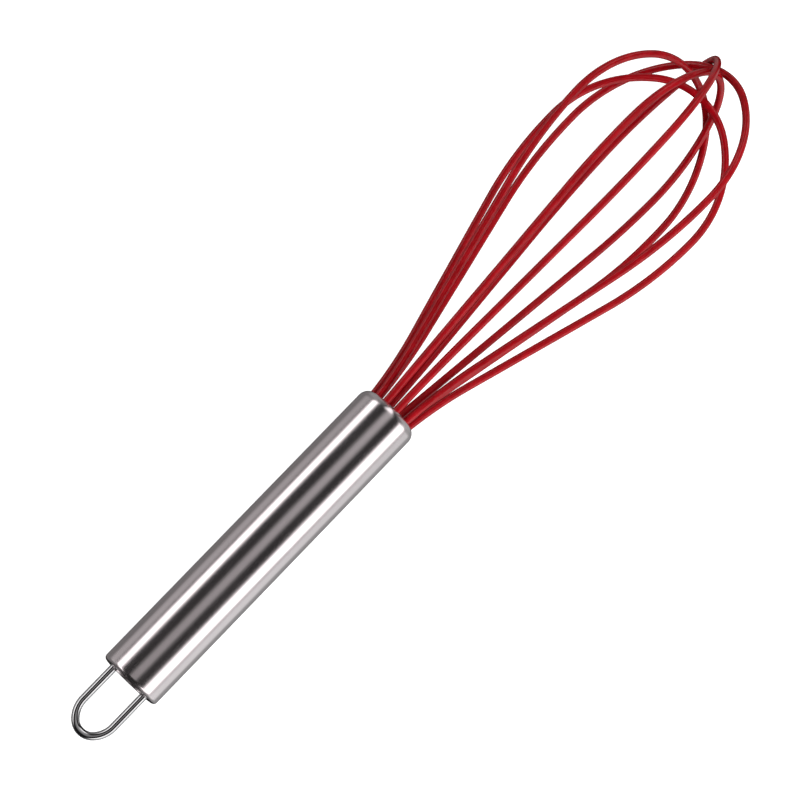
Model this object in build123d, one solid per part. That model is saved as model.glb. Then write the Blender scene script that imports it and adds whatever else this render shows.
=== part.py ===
from build123d import *
import math
import os

# Balloon whisk, in millimetres. X runs along the handle's axis, from the hanging loop (-X) to the
# tip of the wire balloon (+X). The origin is on that axis, half way along the handle.

# Handle: a thin tube whose two ends are spun inwards to a lip.
HANDLE_LENGTH = 120.0
HANDLE_RADIUS = 11.0
HANDLE_WALL = 0.8
MOUTH_RADIUS = 9.1  # opening that the balloon's wires leave by
MOUTH_SHOULDER = 3.65
MOUTH_INNER_SHOULDER = 2.2
MOUTH_SLANT = 55.0  # how far the mouth's wall is spun in, where 90 would be a flat end
BUTT_RADIUS = 7.9  # opening that the hanging loop leaves by
BUTT_SHOULDER = 1.4
LIP_ROUNDING = 0.2

# Hanging loop: one bent wire, whose two feet turn in towards each other behind the end cap.
LOOP_WIRE = 2.65
LOOP_HALF_WIDTH = 6.5
LOOP_REACH = 21.6  # end of the handle to the centre line at the far end of the loop
LOOP_SHOULDER_RADIUS = 9.0
LOOP_NOSE_RADIUS = 5.4
LOOP_DEPTH = 7.0  # end of the handle to the centre line of the feet
LOOP_FOOT_BEND = 3.0
LOOP_FOOT_LENGTH = 1.5

# Pressed cup that closes the butt end from inside, and the potting that fills in behind it.
CAP_DISC = 1.0
CAP_DEPTH = 5.0
CAP_WALL = 0.8
CAP_ROUNDING = 0.8
BUTT_POTTING_DEPTH = 13.0  # end of the handle to the potting's inner face

# Guide behind the mouth's lip that spaces the wires, and the potting that holds their ends.
GUIDE_SETBACK = 1.9  # mouth of the handle to the guide's front
GUIDE_THICKNESS = 4.6
GUIDE_ROUNDING = 0.8
GUIDE_BOSS_RADIUS = 5.6
GUIDE_BOSS_HEIGHT = 2.0
GUIDE_BOSS_ROUNDING = 0.8
MOUTH_POTTING_DEPTH = 22.0  # mouth of the handle to the potting's inner face

FIT_GAP = 0.05  # between each inner piece and what it sits in

# Balloon: five silicone-covered wires, each bent to a flat hairpin with both ends in the mouth.
CORE_WIRE = 1.5
SLEEVE_DIAMETER = 2.55
SLEEVE_ROOT = 7.0  # straight end of a sleeve inside the handle
CORE_ROOT = 16.0  # straight end of a core wire inside the handle
RING_RADIUS = 7.7  # ring on which the wires pass the mouth
FLARE_RADIUS = 153.0
BELLY_RADIUS = 134.5
SHOULDER_RADIUS = 42.0

# For each wire: its turn about the handle's axis, its reach past the mouth, its half width, the
# radius of its nose, its slope where it passes the mouth, and the two small leans of a used
# whisk, in its own plane and out of it.
WIRES = {
    "1": dict(turn=38.5, reach=153.4, half_width=33.1, nose=29.1, slope=7.3,
              lean_in=-0.3, lean_out=-2.8),
    "2": dict(turn=174.2, reach=148.5, half_width=31.2, nose=24.5, slope=6.5,
              lean_in=0.6, lean_out=1.0),
    "3": dict(turn=138.2, reach=158.0, half_width=34.1, nose=26.8, slope=5.6,
              lean_in=1.1, lean_out=-0.8),
    "4": dict(turn=66.1, reach=155.3, half_width=29.9, nose=23.1, slope=11.1,
              lean_in=0.6, lean_out=1.4),
    "5": dict(turn=99.2, reach=160.1, half_width=33.8, nose=16.1, slope=5.0,
              lean_in=-0.2, lean_out=-1.5),
}

MOUTH_X = HANDLE_LENGTH / 2
BUTT_X = -HANDLE_LENGTH / 2
INNER_RADIUS = HANDLE_RADIUS - HANDLE_WALL
INNER_PIECE_RADIUS = INNER_RADIUS - FIT_GAP
GUIDE_FRONT = MOUTH_X - GUIDE_SETBACK
GUIDE_BACK = GUIDE_FRONT - GUIDE_THICKNESS


def disc(radius, x_start, x_end):
    """Solid cylinder on the handle's axis."""
    face = Plane(origin=(x_start, 0, 0), x_dir=(0, 1, 0), z_dir=(1, 0, 0)) * Circle(radius)
    return extrude(face, x_end - x_start)


def round_edge(solid, x, radius, rounding):
    """Fillet the circular edge of that radius at that x."""
    edges = solid.edges().filter_by(GeomType.CIRCLE)
    at_x = edges.filter_by_position(Axis.X, x - 0.01, x + 0.01)
    return fillet(at_x.filter_by(lambda edge: abs(edge.radius - radius) < 0.01), rounding)


def follow(start, direction, steps):
    """Path from a start point: a number is a straight run, and a pair is a bend, as its radius
    and its turn in degrees. Each step leaves the end of the one before in line with it."""
    place, heading, edges = Vector(*start), Vector(*direction), []
    for step in steps:
        if isinstance(step, tuple):
            edge = JernArc(place, heading, *step)
        else:
            edge = Line(place, place + heading * step)
        edges.append(edge)
        place, heading = edge @ 1, edge % 1
    return Wire(edges)


def hairpin(reach, half_width, shoulder, nose):
    """Bends of a symmetric hairpin from its widest point round to the same point opposite, and
    the distance along the axis at which they start. The nose bend is centred on the axis."""
    offset = shoulder - half_width
    along = math.sqrt((shoulder - nose) ** 2 - offset**2)
    turn = math.degrees(math.atan2(along, offset))
    bends = [(shoulder, -turn), (nose, 2 * turn - 180), (shoulder, -turn)]
    return reach - nose - along, bends


def round_bar(path, radius, bore=0.0):
    """Bar along a path, or a tube where it has a bore."""
    section = Circle(radius) - Circle(bore) if bore else Circle(radius)
    return sweep(Plane(origin=path @ 0, z_dir=path % 0) * section, path=path)


def handle_tube():
    slant = math.radians(MOUTH_SLANT)
    # The lip's sharp corner stands out a little, so that its rounding ends at the mouth.
    lip_x = MOUTH_X + LIP_ROUNDING * (1 / math.tan(slant / 2) - 1)
    shoulder_x = lip_x - (HANDLE_RADIUS - MOUTH_RADIUS) / math.tan(slant)
    inner_lip_x = lip_x - HANDLE_WALL / math.sin(slant)
    inner_shoulder_x = inner_lip_x - (INNER_RADIUS - MOUTH_RADIUS) / math.tan(slant)
    corners = [
        (BUTT_X, BUTT_RADIUS, LIP_ROUNDING),
        (BUTT_X, HANDLE_RADIUS, BUTT_SHOULDER),
        (shoulder_x, HANDLE_RADIUS, MOUTH_SHOULDER),
        (lip_x, MOUTH_RADIUS, LIP_ROUNDING),
        (inner_lip_x, MOUTH_RADIUS, LIP_ROUNDING),
        (inner_shoulder_x, INNER_RADIUS, MOUTH_INNER_SHOULDER),
        (BUTT_X + HANDLE_WALL, INNER_RADIUS, BUTT_SHOULDER - HANDLE_WALL),
        (BUTT_X + HANDLE_WALL, BUTT_RADIUS, LIP_ROUNDING),
    ]
    outline = FilletPolyline(
        [(x, y) for x, y, _ in corners], radius=[r for _, _, r in corners], close=True
    )
    return revolve(make_face(outline), Axis.X, 360)


def hanging_loop(radius):
    """The loop, or the room that it needs if it is given a larger radius."""
    straight, bends = hairpin(
        LOOP_REACH, LOOP_HALF_WIDTH, LOOP_SHOULDER_RADIUS, LOOP_NOSE_RADIUS
    )
    leg = straight + LOOP_DEPTH - LOOP_FOOT_BEND
    foot_y = LOOP_HALF_WIDTH - LOOP_FOOT_BEND - LOOP_FOOT_LENGTH
    foot_bend = (LOOP_FOOT_BEND, -90)
    path = follow(
        (-LOOP_DEPTH, foot_y),
        (0, 1),
        [LOOP_FOOT_LENGTH, foot_bend, leg, *bends, leg, foot_bend, LOOP_FOOT_LENGTH],
    )
    return Pos(BUTT_X, 0, 0) * Rot(Z=180) * round_bar(path, radius)


def balloon_wire(wire, root, radius, bore=0.0):
    """One wire of the balloon, or its sleeve, with straight ends of length root."""
    start_slope = math.radians(wire["slope"])
    start = Vector(math.cos(start_slope), math.sin(start_slope))
    widest, bends = hairpin(wire["reach"], wire["half_width"], SHOULDER_RADIUS, wire["nose"])
    # The straight leg touches the flare's circle and the belly's circle from opposite sides.
    along = widest + FLARE_RADIUS * start.Y
    across = wire["half_width"] - BELLY_RADIUS - RING_RADIUS - FLARE_RADIUS * start.X
    between = math.hypot(along, across)
    both_radii = FLARE_RADIUS + BELLY_RADIUS
    slope = math.degrees(math.atan2(across, along) + math.asin(both_radii / between))
    leg = math.sqrt(between**2 - both_radii**2)
    way_out = [root, (FLARE_RADIUS, slope - wire["slope"]), leg, (BELLY_RADIUS, -slope)]
    root_end = Vector(0, RING_RADIUS) - start * root
    path = follow(root_end, start, [*way_out, *bends, *way_out[::-1]])
    lean = Rot(Y=-wire["lean_out"]) * Rot(Z=wire["lean_in"])
    return Pos(MOUTH_X, 0, 0) * Rot(X=wire["turn"]) * lean * round_bar(path, radius, bore)


def wires(root, radius):
    """All five wires at one radius, to cut the room that they need."""
    return [balloon_wire(wire, root, radius) for wire in WIRES.values()]


def butt_cap():
    front = BUTT_X + HANDLE_WALL + FIT_GAP
    cup = disc(INNER_PIECE_RADIUS, front, front + CAP_DEPTH)
    cup = round_edge(cup, front, INNER_PIECE_RADIUS, CAP_ROUNDING)
    cup -= disc(INNER_PIECE_RADIUS - CAP_WALL, front + CAP_DISC, front + CAP_DEPTH)
    return cup - hanging_loop(LOOP_WIRE / 2 + FIT_GAP)


def butt_potting():
    cap_front = BUTT_X + HANDLE_WALL + FIT_GAP
    cap_end = cap_front + CAP_DEPTH + FIT_GAP
    in_cup = disc(
        INNER_PIECE_RADIUS - CAP_WALL - FIT_GAP, cap_front + CAP_DISC + FIT_GAP, cap_end
    )
    behind = disc(INNER_PIECE_RADIUS, cap_end, BUTT_X + BUTT_POTTING_DEPTH)
    return in_cup + behind - hanging_loop(LOOP_WIRE / 2 + FIT_GAP)


def wire_guide():
    guide = disc(INNER_PIECE_RADIUS, GUIDE_BACK, GUIDE_FRONT)
    guide = round_edge(guide, GUIDE_FRONT, INNER_PIECE_RADIUS, GUIDE_ROUNDING)
    boss_end = GUIDE_FRONT + GUIDE_BOSS_HEIGHT
    boss = disc(GUIDE_BOSS_RADIUS, GUIDE_BACK, boss_end)
    boss = round_edge(boss, boss_end, GUIDE_BOSS_RADIUS, GUIDE_BOSS_ROUNDING)
    return guide + boss - wires(SLEEVE_ROOT, SLEEVE_DIAMETER / 2 + FIT_GAP)


def mouth_potting():
    potting = disc(INNER_PIECE_RADIUS, MOUTH_X - MOUTH_POTTING_DEPTH, GUIDE_BACK - FIT_GAP)
    potting -= wires(CORE_ROOT, CORE_WIRE / 2 + FIT_GAP)
    return potting - wires(SLEEVE_ROOT, SLEEVE_DIAMETER / 2 + FIT_GAP)


nodes = {
    "handle_tube": handle_tube(),
    "butt_cap": butt_cap(),
    "butt_potting": butt_potting(),
    "hanging_loop": hanging_loop(LOOP_WIRE / 2),
    "wire_guide": wire_guide(),
    "mouth_potting": mouth_potting(),
}
for number, wire in WIRES.items():
    nodes[f"core_wire_{number}"] = balloon_wire(wire, CORE_ROOT, CORE_WIRE / 2)
    nodes[f"sleeve_{number}"] = balloon_wire(
        wire, SLEEVE_ROOT, SLEEVE_DIAMETER / 2, CORE_WIRE / 2
    )

os.makedirs("parts", exist_ok=True)
for name, solid in nodes.items():
    export_step(solid, f"parts/{name}.step")
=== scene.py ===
import math

import bpy
from mathutils import Matrix, Vector


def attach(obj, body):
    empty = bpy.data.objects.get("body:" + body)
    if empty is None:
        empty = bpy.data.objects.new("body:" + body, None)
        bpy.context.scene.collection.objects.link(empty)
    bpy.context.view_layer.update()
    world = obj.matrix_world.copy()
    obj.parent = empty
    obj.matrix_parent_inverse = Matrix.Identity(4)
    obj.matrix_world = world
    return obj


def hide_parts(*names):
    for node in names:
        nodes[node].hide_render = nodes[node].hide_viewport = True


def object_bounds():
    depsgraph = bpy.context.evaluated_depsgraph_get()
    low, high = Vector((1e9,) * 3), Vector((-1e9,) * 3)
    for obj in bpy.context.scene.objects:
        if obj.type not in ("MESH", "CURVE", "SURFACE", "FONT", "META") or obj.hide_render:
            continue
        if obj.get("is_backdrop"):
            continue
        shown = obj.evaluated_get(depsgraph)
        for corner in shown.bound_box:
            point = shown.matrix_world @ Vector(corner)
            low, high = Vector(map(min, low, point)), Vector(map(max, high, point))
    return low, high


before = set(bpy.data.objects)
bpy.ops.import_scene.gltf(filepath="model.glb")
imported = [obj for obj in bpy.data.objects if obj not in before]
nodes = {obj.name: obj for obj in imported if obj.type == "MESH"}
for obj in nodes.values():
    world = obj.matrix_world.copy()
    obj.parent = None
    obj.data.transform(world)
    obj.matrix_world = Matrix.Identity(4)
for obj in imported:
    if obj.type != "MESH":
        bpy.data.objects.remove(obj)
cad_low, cad_high = (list(corner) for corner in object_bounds())
MM = 0.001

# ---------------------------------------------------------------------------------------------
# Sizes, in millimetres and degrees, as the CAD has them. X runs along the handle's axis to the
# tip of the balloon.
# ---------------------------------------------------------------------------------------------
BUTT_X, MOUTH_X = -60.0, 60.0
HANDLE_RADIUS, HANDLE_WALL = 11.0, 0.8
MOUTH_RADIUS, MOUTH_SHOULDER, MOUTH_INNER_SHOULDER = 9.1, 3.65, 2.2
MOUTH_SLANT = math.radians(55)
BUTT_RADIUS, BUTT_SHOULDER = 7.9, 1.4
LIP_ROUNDING = 0.2

LOOP_WIRE = 2.65
LOOP_HALF_WIDTH, LOOP_REACH = 6.5, 21.6
LOOP_SHOULDER_RADIUS, LOOP_NOSE_RADIUS = 9.0, 5.4
LOOP_DEPTH, LOOP_FOOT_BEND, LOOP_FOOT_LENGTH = 7.0, 3.0, 1.5

CORE_WIRE, SLEEVE_DIAMETER, SLEEVE_ROOT = 1.5, 2.55, 7.0
RING_RADIUS, FLARE_RADIUS, BELLY_RADIUS, SHOULDER_RADIUS = 7.7, 153.0, 134.5, 42.0
WIRES = {
    "1": dict(turn=38.5, reach=153.4, half_width=33.1, nose=29.1, slope=7.3,
              lean_in=-0.3, lean_out=-2.8),
    "2": dict(turn=174.2, reach=148.5, half_width=31.2, nose=24.5, slope=6.5,
              lean_in=0.6, lean_out=1.0),
    "3": dict(turn=138.2, reach=158.0, half_width=34.1, nose=26.8, slope=5.6,
              lean_in=1.1, lean_out=-0.8),
    "4": dict(turn=66.1, reach=155.3, half_width=29.9, nose=23.1, slope=11.1,
              lean_in=0.6, lean_out=1.4),
    "5": dict(turn=99.2, reach=160.1, half_width=33.8, nose=16.1, slope=5.0,
              lean_in=-0.2, lean_out=-1.5),
}
SKIN_SWELL, SKIN_OUT_OF_ROUND = 0.012, 0.006

# How finely the meshes are divided: steps in millimetres, and points round each section.
ARC_STEP, FEWEST_ARC_PIECES, LONGEST_RUN, AROUND_HANDLE = 0.12, 4, 4.0, 192
LOOP_STEP, AROUND_LOOP = 0.25, 40
WIRE_STEP, AROUND_WIRE = 0.8, 28


# ---------------------------------------------------------------------------------------------
# Meshes
# ---------------------------------------------------------------------------------------------
def mesh_object(name, vertices, faces):
    mesh = bpy.data.meshes.new(name)
    mesh.from_pydata([(x * MM, y * MM, z * MM) for x, y, z in vertices], [], faces)
    mesh.validate()
    mesh.polygons.foreach_set("use_smooth", [True] * len(mesh.polygons))
    mesh.update()
    made = bpy.data.objects.new(name, mesh)
    bpy.context.scene.collection.objects.link(made)
    return made


def bridge(rings, around, closed):
    """Quads between rows of points that each have the same number of points around."""
    faces = []
    last = rings if closed else rings - 1
    for i in range(last):
        j = (i + 1) % rings
        for a in range(around):
            b = (a + 1) % around
            faces.append((i * around + a, i * around + b, j * around + b, j * around + a))
    return faces


def lathe(name, outline, around):
    """Closed ring-shaped solid about the handle's axis, from a closed outline of (x, radius)."""
    vertices = []
    for x, radius in outline:
        for i in range(around):
            angle = 2 * math.pi * i / around
            vertices.append((x, radius * math.cos(angle), radius * math.sin(angle)))
    return mesh_object(name, vertices, bridge(len(outline), around, True))


def rounded_outline(corners, step):
    """Closed outline of straight runs with rounded corners. Each corner is (x, y, radius), and
    its arc is divided into pieces of about the step's length."""
    points = []
    count = len(corners)
    for i, (x, y, radius) in enumerate(corners):
        here = Vector((x, y))
        before = (Vector(corners[i - 1][:2]) - here).normalized()
        after = (Vector(corners[(i + 1) % count][:2]) - here).normalized()
        half = before.angle(after) / 2
        centre = here + (before + after).normalized() * radius / math.sin(half)
        start = here + before * radius / math.tan(half) - centre
        turn = start.angle_signed(here + after * radius / math.tan(half) - centre)
        pieces = max(FEWEST_ARC_PIECES, round(abs(turn) * radius / step))
        for k in range(pieces + 1):
            spoke = start.copy()
            spoke.rotate(Matrix.Rotation(-turn * k / pieces, 2))
            points.append(tuple(centre + spoke))
    return points


def add_runs(points, longest):
    """The same closed outline, with long straight runs divided."""
    divided = []
    for i, (x, y) in enumerate(points):
        x2, y2 = points[(i + 1) % len(points)]
        pieces = max(1, math.ceil(math.hypot(x2 - x, y2 - y) / longest))
        divided += [(x + (x2 - x) * k / pieces, y + (y2 - y) * k / pieces) for k in range(pieces)]
    return divided


def follow(start, heading, steps, step_length):
    """Points along a flat path: a number is a straight run, and a pair is a bend, as its radius
    and its turn in degrees. Each step leaves the end of the one before in line with it."""
    x, y = start
    angle = heading
    points = [(x, y)]
    for step in steps:
        radius, turn = step if isinstance(step, tuple) else (None, 0.0)
        length = abs(math.radians(turn)) * radius if radius else step
        pieces = max(2, math.ceil(length / step_length))
        for _ in range(pieces):
            piece_turn = math.radians(turn) / pieces
            chord = 2 * radius * math.sin(abs(piece_turn) / 2) if radius else length / pieces
            angle += piece_turn / 2
            x += chord * math.cos(angle)
            y += chord * math.sin(angle)
            angle += piece_turn / 2
            points.append((x, y))
    return points


def hairpin(reach, half_width, shoulder, nose):
    """Bends of a symmetric hairpin from its widest point round to the same point opposite, and
    the distance along the axis at which they start."""
    offset = shoulder - half_width
    along = math.sqrt((shoulder - nose) ** 2 - offset**2)
    turn = math.degrees(math.atan2(along, offset))
    bends = [(shoulder, -turn), (nose, 2 * turn - 180), (shoulder, -turn)]
    return reach - nose - along, bends


def wall(path, radius_at, around, place):
    """Points round each point of a flat path, moved to their place. radius_at gives the distance
    from the path at a share of its length and an angle round it."""
    last = len(path) - 1
    rings = []
    for i, (x, y) in enumerate(path):
        before, after = path[max(0, i - 1)], path[min(last, i + 1)]
        along = Vector((after[0] - before[0], after[1] - before[1], 0)).normalized()
        side = Vector((-along.y, along.x, 0))
        ring = []
        for a in range(around):
            angle = 2 * math.pi * a / around
            radius = radius_at(i / last, angle)
            point = Vector((x, y, 0)) + side * radius * math.cos(angle)
            point += Vector((0, 0, 1)) * radius * math.sin(angle)
            ring.append(tuple(place @ point))
        rings.append(ring)
    return rings


def bar(name, path, radius_at, around, place):
    """Solid round bar along a flat path."""
    rings = wall(path, radius_at, around, place)
    faces = bridge(len(rings), around, False)
    faces.append(tuple(range(around)))
    faces.append(tuple(reversed(range((len(rings) - 1) * around, len(rings) * around))))
    return mesh_object(name, [point for ring in rings for point in ring], faces)


def tube(name, path, radius_at, bore, around, place):
    """Round tube along a flat path, open at both ends."""
    rings = wall(path, radius_at, around, place)
    rings += reversed(wall(path, lambda share, angle: bore, around, place))
    faces = bridge(len(rings), around, True)
    return mesh_object(name, [point for ring in rings for point in ring], faces)


# ---------------------------------------------------------------------------------------------
# Materials
# ---------------------------------------------------------------------------------------------
BLACK, WHITE = (0, 0, 0), (1, 1, 1)


class Tree:
    """Short way to add nodes to the node tree of a material or of the world."""

    def __init__(self, owner, shader):
        owner.use_nodes = True
        self.tree = owner.node_tree
        self.shader = self.tree.nodes[shader]

    def add(self, kind, inputs=None, **settings):
        node = self.tree.nodes.new(kind)
        for key, value in settings.items():
            setattr(node, key, value)
        for key, value in (inputs or {}).items():
            self.put(node.inputs[key], value)
        return node

    def put(self, socket, value):
        if isinstance(value, bpy.types.NodeSocket):
            self.tree.links.new(value, socket)
        else:
            socket.default_value = value

    def math(self, operation, *values):
        node = self.add("ShaderNodeMath", operation=operation)
        for socket, value in zip(node.inputs, values):
            self.put(socket, value)
        return node.outputs[0]

    def ramp(self, value, *stops):
        """Colour that runs through stops, each (position, colour)."""
        node = self.add("ShaderNodeValToRGB", {"Fac": value})
        elements = node.color_ramp.elements
        while len(elements) < len(stops):
            elements.new(0.5)
        for element, (position, colour) in zip(elements, stops):
            element.position = position
            element.color = (*colour, 1)
        return node.outputs["Color"]

    def remap(self, value, low, high):
        inputs = {"Value": value, "To Min": low, "To Max": high}
        return self.add("ShaderNodeMapRange", inputs).outputs[0]

    def combine(self, x, y, z):
        return self.add("ShaderNodeCombineXYZ", {"X": x, "Y": y, "Z": z}).outputs[0]

    def noise(self, vector, detail, roughness):
        inputs = {"Vector": vector, "Scale": 1.0, "Detail": detail, "Roughness": roughness}
        return self.add("ShaderNodeTexNoise", inputs).outputs["Fac"]

    def stretched(self, along, across):
        """Object coordinates in metres, scaled along X and across it."""
        place = self.add("ShaderNodeTexCoord").outputs["Object"]
        scale = (along, across, across)
        return self.add("ShaderNodeMapping", {"Vector": place, "Scale": scale}).outputs[0]

    def bump(self, height, strength, distance, normal=None):
        inputs = {"Height": height, "Strength": strength, "Distance": distance}
        if normal is not None:
            inputs["Normal"] = normal
        return self.add("ShaderNodeBump", inputs).outputs[0]

    def set(self, **values):
        for key, value in values.items():
            self.put(self.shader.inputs[key.replace("_", " ")], value)


def new_material(name):
    material = bpy.data.materials.new(name)
    return material, Tree(material, "Principled BSDF")


def round_handle(m):
    """Distance along the handle, angle about its axis and distance from it, in metres and
    radians."""
    place = m.add("ShaderNodeTexCoord").outputs["Object"]
    x, y, z = m.add("ShaderNodeSeparateXYZ", {"Vector": place}).outputs
    squares = m.math("ADD", m.math("MULTIPLY", y, y), m.math("MULTIPLY", z, z))
    return x, m.math("ARCTAN2", z, y), m.math("SQRT", squares)


def satin_tube_steel():
    """Satin stainless tube, polished on a lathe: fine grooves run round it, so light spreads
    along it and its stripes stay crisp across it."""
    material, m = new_material("satin_tube_steel")
    along, angle, radius = round_handle(m)

    def grooves(x_scale, angle_scale, z, detail, roughness):
        x = m.math("MULTIPLY", along, x_scale)
        place = m.combine(x, m.math("MULTIPLY", angle, angle_scale), z)
        return m.noise(place, detail, roughness)

    grain = grooves(9000.0, 1.2, m.math("MULTIPLY", radius, 400.0), 3.0, 0.6)
    bands = grooves(420.0, 0.7, 0.0, 4.0, 0.6)
    smudge = m.noise(m.stretched(45.0, 120.0), 3.0, 0.5)
    scratches = m.ramp(grooves(60.0, 260.0, 3.0, 2.0, 0.4), (0.70, BLACK), (0.78, WHITE))
    tone = m.math("ADD", m.remap(grain, -0.05, 0.05), m.remap(bands, -0.05, 0.05))
    tone = m.math("ADD", tone, m.remap(smudge, 0.42, 0.58))
    rough = m.math("ADD", m.remap(smudge, 0.19, 0.25), m.math("MULTIPLY", grain, 0.05))
    normal = m.bump(grain, 0.10, 0.00002)
    m.set(
        Base_Color=m.ramp(tone, (0.40, (0.65, 0.583, 0.597)), (0.60, (0.71, 0.637, 0.652))),
        Metallic=1.0,
        Roughness=m.math("ADD", rough, m.math("MULTIPLY", scratches, 0.05)),
        Normal=m.bump(scratches, 0.10, 0.00001, normal),
        Anisotropic=0.55,
        Anisotropic_Rotation=0.25,
        Tangent=m.add("ShaderNodeTangent", direction_type="RADIAL", axis="X").outputs[0],
    )
    return material


def polished_wire_steel():
    material, m = new_material("polished_wire_steel")
    drawn = m.noise(m.stretched(60.0, 2600.0), 3.0, 0.6)
    smudge = m.noise(m.stretched(160.0, 160.0), 3.0, 0.5)
    # The base colour is kept darker than the tube's steel as painted shade: it dims every
    # reflection in the loop, so the legs show a darker middle. The smudge varies it at random.
    m.set(
        Base_Color=m.ramp(smudge, (0.35, (0.43, 0.42, 0.43)), (0.65, (0.51, 0.50, 0.505))),
        Metallic=1.0,
        Roughness=m.math("ADD", m.remap(smudge, 0.04, 0.11), m.math("MULTIPLY", drawn, 0.03)),
        Normal=m.bump(drawn, 0.06, 0.00001),
    )
    return material


def pressed_cap_steel():
    material, m = new_material("pressed_cap_steel")
    along, angle, radius = round_handle(m)
    spun_place = m.combine(
        m.math("MULTIPLY", radius, 7000.0),
        m.math("MULTIPLY", angle, 0.8),
        m.math("MULTIPLY", along, 500.0),
    )
    spun = m.noise(spun_place, 4.0, 0.6)
    stain = m.noise(m.stretched(300.0, 300.0), 4.0, 0.6)
    m.set(
        Base_Color=m.ramp(stain, (0.3, (0.34, 0.335, 0.33)), (0.7, (0.50, 0.49, 0.485))),
        Metallic=1.0,
        Roughness=m.math("ADD", m.remap(stain, 0.26, 0.38), m.math("MULTIPLY", spun, 0.08)),
        Normal=m.bump(spun, 0.2, 0.00003),
    )
    return material


def red_silicone():
    """Dipped silicone: deep red, with a soft skin gloss, a faint run of thickness along the wire
    and fine dust that dulls the gloss in places."""
    material, m = new_material("red_silicone")
    flow = m.noise(m.stretched(120.0, 420.0), 4.0, 0.5)
    skin = m.noise(m.stretched(2500.0, 2500.0), 3.0, 0.5)
    dust = m.noise(m.stretched(700.0, 700.0), 5.0, 0.65)
    tone = m.math("ADD", m.math("MULTIPLY", flow, 0.8), m.math("MULTIPLY", dust, 0.2))
    m.set(
        Base_Color=m.ramp(
            tone,
            (0.35, (0.305, 0.0018, 0.0050)),
            (0.5, (0.37, 0.0026, 0.0072)),
            (0.68, (0.45, 0.0045, 0.0105)),
        ),
        Roughness=m.math("ADD", m.remap(flow, 0.08, 0.15), m.math("MULTIPLY", dust, 0.05)),
        Normal=m.bump(flow, 0.10, 0.00006, m.bump(skin, 0.06, 0.00002)),
        Subsurface_Weight=0.05,
        Subsurface_Radius=(0.0012, 0.0002, 0.0002),
        Subsurface_Scale=1.0,
        Specular_IOR_Level=0.33,
        IOR=1.43,
    )
    return material


def drawn_spring_wire():
    material, m = new_material("drawn_spring_wire")
    drawn = m.noise(m.stretched(80.0, 3000.0), 3.0, 0.6)
    m.set(
        Base_Color=m.ramp(drawn, (0.3, (0.42, 0.41, 0.40)), (0.7, (0.58, 0.57, 0.56))),
        Metallic=1.0,
        Roughness=m.remap(drawn, 0.22, 0.36),
        Normal=m.bump(drawn, 0.15, 0.00002),
    )
    return material


def moulded_guide_nylon():
    material, m = new_material("moulded_guide_nylon")
    spark = m.noise(m.stretched(2400.0, 2400.0), 2.0, 0.5)
    cloud = m.noise(m.stretched(260.0, 260.0), 4.0, 0.5)
    m.set(
        Base_Color=m.ramp(cloud, (0.3, (0.016, 0.015, 0.016)), (0.7, (0.032, 0.030, 0.031))),
        Roughness=m.remap(cloud, 0.42, 0.56),
        Normal=m.bump(spark, 0.35, 0.00004),
    )
    return material


def cast_potting_resin():
    material, m = new_material("cast_potting_resin")
    cloud = m.noise(m.stretched(400.0, 400.0), 5.0, 0.6)
    inputs = {"Vector": m.stretched(1100.0, 1100.0), "Scale": 1.0}
    bubbles = m.add("ShaderNodeTexVoronoi", inputs).outputs["Distance"]
    m.set(
        Base_Color=m.ramp(cloud, (0.3, (0.26, 0.24, 0.20)), (0.7, (0.36, 0.33, 0.28))),
        Roughness=m.remap(cloud, 0.35, 0.5),
        Normal=m.bump(bubbles, 0.15, 0.00005),
    )
    return material


# The pieces whose shape the CAD already gives only get their finish.
CAD_FINISHES = [
    (drawn_spring_wire(), ["core_wire_" + number for number in WIRES]),
    (pressed_cap_steel(), ["butt_cap"]),
    (moulded_guide_nylon(), ["wire_guide"]),
    (cast_potting_resin(), ["butt_potting", "mouth_potting"]),
]
for material, names in CAD_FINISHES:
    for name in names:
        mesh = nodes[name].data
        mesh.materials.clear()
        mesh.materials.append(material)


def stand_for(piece, node, material):
    """The finished piece takes the place of its CAD node, with the given material in its slot."""
    piece.data.materials.append(material)
    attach(piece, "root")
    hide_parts(node)


# ---------------------------------------------------------------------------------------------
# Handle
# ---------------------------------------------------------------------------------------------
inner = HANDLE_RADIUS - HANDLE_WALL
lip_x = MOUTH_X + LIP_ROUNDING * (1 / math.tan(MOUTH_SLANT / 2) - 1)
shoulder_x = lip_x - (HANDLE_RADIUS - MOUTH_RADIUS) / math.tan(MOUTH_SLANT)
inner_lip_x = lip_x - HANDLE_WALL / math.sin(MOUTH_SLANT)
inner_shoulder_x = inner_lip_x - (inner - MOUTH_RADIUS) / math.tan(MOUTH_SLANT)
handle_outline = rounded_outline(
    [
        (BUTT_X, BUTT_RADIUS, LIP_ROUNDING),
        (BUTT_X, HANDLE_RADIUS, BUTT_SHOULDER),
        (shoulder_x, HANDLE_RADIUS, MOUTH_SHOULDER),
        (lip_x, MOUTH_RADIUS, LIP_ROUNDING),
        (inner_lip_x, MOUTH_RADIUS, LIP_ROUNDING),
        (inner_shoulder_x, inner, MOUTH_INNER_SHOULDER),
        (BUTT_X + HANDLE_WALL, inner, BUTT_SHOULDER - HANDLE_WALL),
        (BUTT_X + HANDLE_WALL, BUTT_RADIUS, LIP_ROUNDING),
    ],
    ARC_STEP,
)
handle = lathe("handle", add_runs(handle_outline, LONGEST_RUN), AROUND_HANDLE)
stand_for(handle, "handle_tube", satin_tube_steel())

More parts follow.
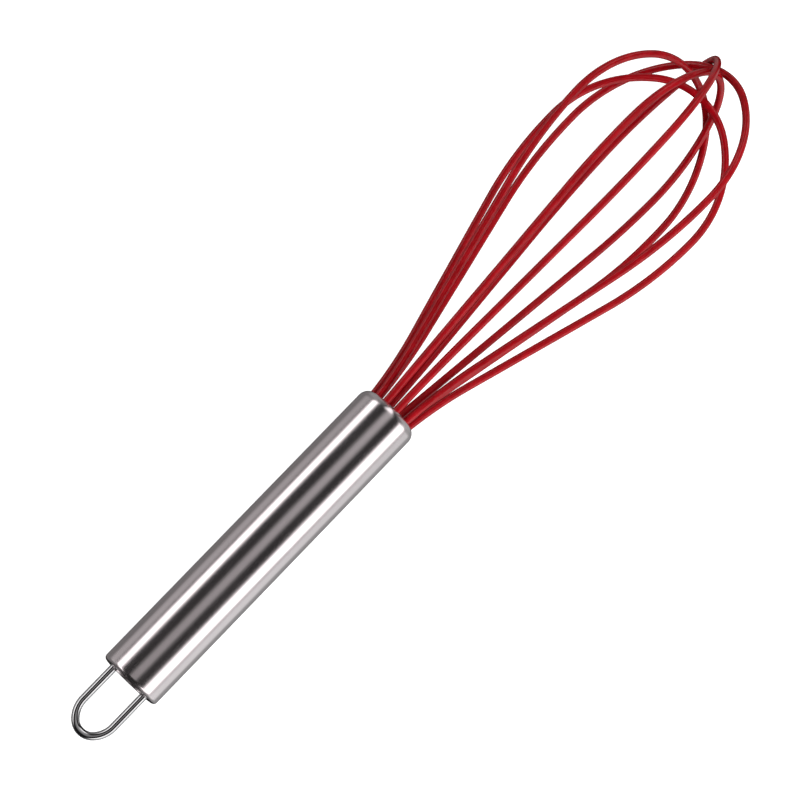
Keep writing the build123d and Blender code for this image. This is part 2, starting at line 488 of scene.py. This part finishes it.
# ---------------------------------------------------------------------------------------------
# Hanging loop
# ---------------------------------------------------------------------------------------------
straight, bends = hairpin(LOOP_REACH, LOOP_HALF_WIDTH, LOOP_SHOULDER_RADIUS, LOOP_NOSE_RADIUS)
leg = straight + LOOP_DEPTH - LOOP_FOOT_BEND
foot = [LOOP_FOOT_LENGTH, (LOOP_FOOT_BEND, -90)]
loop_path = follow(
    (-LOOP_DEPTH, LOOP_HALF_WIDTH - LOOP_FOOT_BEND - LOOP_FOOT_LENGTH),
    math.pi / 2,
    [*foot, leg, *bends, leg, *foot[::-1]],
    LOOP_STEP,
)
loop_place = Matrix.Translation((BUTT_X, 0, 0)) @ Matrix.Rotation(math.pi, 4, "Z")
loop = bar("hang_loop", loop_path, lambda share, angle: LOOP_WIRE / 2, AROUND_LOOP, loop_place)
stand_for(loop, "hanging_loop", polished_wire_steel())


# ---------------------------------------------------------------------------------------------
# Balloon
# ---------------------------------------------------------------------------------------------
def wire_path(wire):
    """Flat hairpin: a straight root, a flare, a straight leg, the belly and the nose, and back."""
    start_slope = math.radians(wire["slope"])
    start = Vector((math.cos(start_slope), math.sin(start_slope)))
    widest, bends = hairpin(wire["reach"], wire["half_width"], SHOULDER_RADIUS, wire["nose"])
    along = widest + FLARE_RADIUS * start.y
    across = wire["half_width"] - BELLY_RADIUS - RING_RADIUS - FLARE_RADIUS * start.x
    between = math.hypot(along, across)
    both_radii = FLARE_RADIUS + BELLY_RADIUS
    slope = math.degrees(math.atan2(across, along) + math.asin(both_radii / between))
    leg = math.sqrt(between**2 - both_radii**2)
    way_out = [SLEEVE_ROOT, (FLARE_RADIUS, slope - wire["slope"]), leg, (BELLY_RADIUS, -slope)]
    root_end = Vector((0, RING_RADIUS)) - start * SLEEVE_ROOT
    return follow(root_end, start_slope, [*way_out, *bends, *way_out[::-1]], WIRE_STEP)


def wire_place(wire):
    place = Matrix.Translation((MOUTH_X, 0, 0))
    place @= Matrix.Rotation(math.radians(wire["turn"]), 4, "X")
    place @= Matrix.Rotation(math.radians(-wire["lean_out"]), 4, "Y")
    return place @ Matrix.Rotation(math.radians(wire["lean_in"]), 4, "Z")


def dipped_radius(phase):
    """A dipped skin is never quite even: it swells and thins a little along the wire."""

    def radius(share, angle):
        wave = math.sin(37 * share + phase) + 0.6 * math.sin(83 * share + 2.3 * phase)
        lobe = math.cos(angle + 11 * share)
        return SLEEVE_DIAMETER / 2 + SKIN_SWELL * wave + SKIN_OUT_OF_ROUND * lobe

    return radius


silicone = red_silicone()
for number, wire in WIRES.items():
    skin = dipped_radius(int(number))
    place = wire_place(wire)
    sleeve = tube("silicone_" + number, wire_path(wire), skin, CORE_WIRE / 2, AROUND_WIRE, place)
    stand_for(sleeve, "sleeve_" + number, silicone)

# ---------------------------------------------------------------------------------------------
# Floor, light and camera
# ---------------------------------------------------------------------------------------------
FLOOR_Z = cad_low[2]
FLOOR_SIZE = 12.0

bpy.ops.mesh.primitive_plane_add(size=FLOOR_SIZE, location=(0, 0, FLOOR_Z))
floor = bpy.context.object
floor.name = "floor"
pale, m = new_material("pale_floor")
m.set(
    Base_Color=(0.80, 0.80, 0.80, 1),
    Roughness=0.9,
    Specular_IOR_Level=0.0,
    Emission_Color=(1, 1, 1, 1),
    Emission_Strength=0.62,
)
floor.data.materials.append(pale)
floor.visible_glossy = False
floor.visible_diffuse = False
floor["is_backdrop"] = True

# What the steel mirrors: cards and soft boxes round the handle's axis. After its name, each has
# where it starts and ends in degrees from straight up towards +Y, how soft its edges are, the
# same three for its tilt from square on towards +X, and how bright it is.
CARDS = [
    ("overhead", -8.5, 7, 10.5, -16, 18, 14, 0.31),
    ("overhead_tip", -16, 2, 8, 14, 30, 8, 0.40),
    ("strip_left", 54, 70, 7, -40, 18, 24, 2.2),
    ("strip_right", -80, -56, 7, -40, 18, 24, 2.2),
    ("table_left", 92, 104, 16, -20, -2, 34, 0.34),
    ("table_right", -118, -99, 16, -20, -2, 34, 0.70),
    ("far_left", 84, 156, 9, -32, 90, 12, 0.20),
    ("far_right", -156, -80, 9, -32, 90, 12, 0.36),
    ("window", -6, 18, 14, 44, 82, 16, 1.8),
    ("ahead_left", 54, 150, 20, 38, 74, 12, 0.16),
    ("ahead_right", -150, -54, 20, 38, 74, 12, 0.16),
    ("behind_left", 92, 150, 12, -62, -44, 9, 0.16),
    ("behind_right", -150, -92, 12, -62, -44, 9, 0.26),
]
GAP_LEVEL = 0.018

world = bpy.data.worlds.new("studio")
bpy.context.scene.world = world
w = Tree(world, "Background")
direction = w.add("ShaderNodeTexCoord").outputs["Generated"]
x, y, z = w.add("ShaderNodeSeparateXYZ", {"Vector": direction}).outputs
side = w.math("DEGREES", w.math("ARCTAN2", y, z))
tip = w.math("DEGREES", w.math("ARCSINE", x))


def soft_edge(value, start, end, before, after):
    """Smooth change from the level before the start to the level after the end."""
    edge = {"Value": value, "From Min": start, "From Max": end, "To Min": before, "To Max": after}
    node = w.add("ShaderNodeMapRange", edge, interpolation_type="SMOOTHSTEP")
    return node.outputs[0]


def within(value, low, high, soft):
    """1 between low and high, falling to 0 over a soft edge on each side."""
    rise = soft_edge(value, low - soft, low, 0.0, 1.0)
    return w.math("MULTIPLY", rise, soft_edge(value, high, high + soft, 1.0, 0.0))


level = GAP_LEVEL
for _, *side_edges, tip_low, tip_high, tip_soft, bright in CARDS:
    card = w.math("MULTIPLY", within(side, *side_edges), within(tip, tip_low, tip_high, tip_soft))
    level = w.math("ADD", level, w.math("MULTIPLY", card, bright))
shown = w.add("ShaderNodeLightPath").outputs["Is Camera Ray"]
# The light that comes back off the table on the right is a little cooler than the rest.
cooler = w.add("ShaderNodeMapRange", {"Value": side, "From Min": -86, "From Max": -96}).outputs[0]
w.set(
    Strength=w.add("ShaderNodeMix", {"Factor": shown, "A": level, "B": 1.0}).outputs[0],
    Color=w.ramp(cooler, (0.0, WHITE), (1.0, (0.955, 1.0, 0.995))),
)

KEY_SIZE, KEY_POWER = 1.0, 7.0
KEY_PLACE = Vector((0.12, -0.46, 0.86))
KEY_TARGET = Vector((0.06, 0, 0))

key = bpy.data.lights.new("key_soft", "AREA")
key.shape = "RECTANGLE"
key.size, key.size_y, key.energy = KEY_SIZE, KEY_SIZE, KEY_POWER
lamp = bpy.data.objects.new("key_soft", key)
lamp.location = KEY_PLACE
lamp.rotation_euler = (KEY_TARGET - KEY_PLACE).to_track_quat("-Z", "Y").to_euler()
lamp.visible_glossy = False
bpy.context.scene.collection.objects.link(lamp)

# The camera looks a little past square at the whisk, so that the tip leans away from it.
CAMERA_DISTANCE = 0.9994
CAMERA_TILT = math.radians(10.128)
CAMERA_ROLL = math.radians(45.93)
AIM = Vector((0.06498, 0.00032, 0))
SENSOR_WIDTH = 36.0
FOCAL_OVER_WIDTH = 3106 / 800

along_image = Vector((math.cos(CAMERA_TILT), 0, math.sin(CAMERA_TILT)))
back = Vector((-math.sin(CAMERA_TILT), 0, math.cos(CAMERA_TILT)))
across_image = Vector((0, -1, 0))
right = along_image * math.cos(CAMERA_ROLL) + across_image * math.sin(CAMERA_ROLL)
up = along_image * math.sin(CAMERA_ROLL) - across_image * math.cos(CAMERA_ROLL)
turned = Matrix((right, up, back)).transposed().to_4x4()

camera_data = bpy.data.cameras.new("camera")
camera_data.sensor_width = SENSOR_WIDTH
camera_data.lens = SENSOR_WIDTH * FOCAL_OVER_WIDTH
camera_data.clip_start, camera_data.clip_end = 0.05, 50.0
camera = bpy.data.objects.new("camera", camera_data)
camera.matrix_world = Matrix.Translation(AIM + back * CAMERA_DISTANCE) @ turned
bpy.context.scene.collection.objects.link(camera)
bpy.context.scene.camera = camera

bpy.context.scene.view_settings.view_transform = "Standard"
bpy.context.scene.view_settings.look = "None"
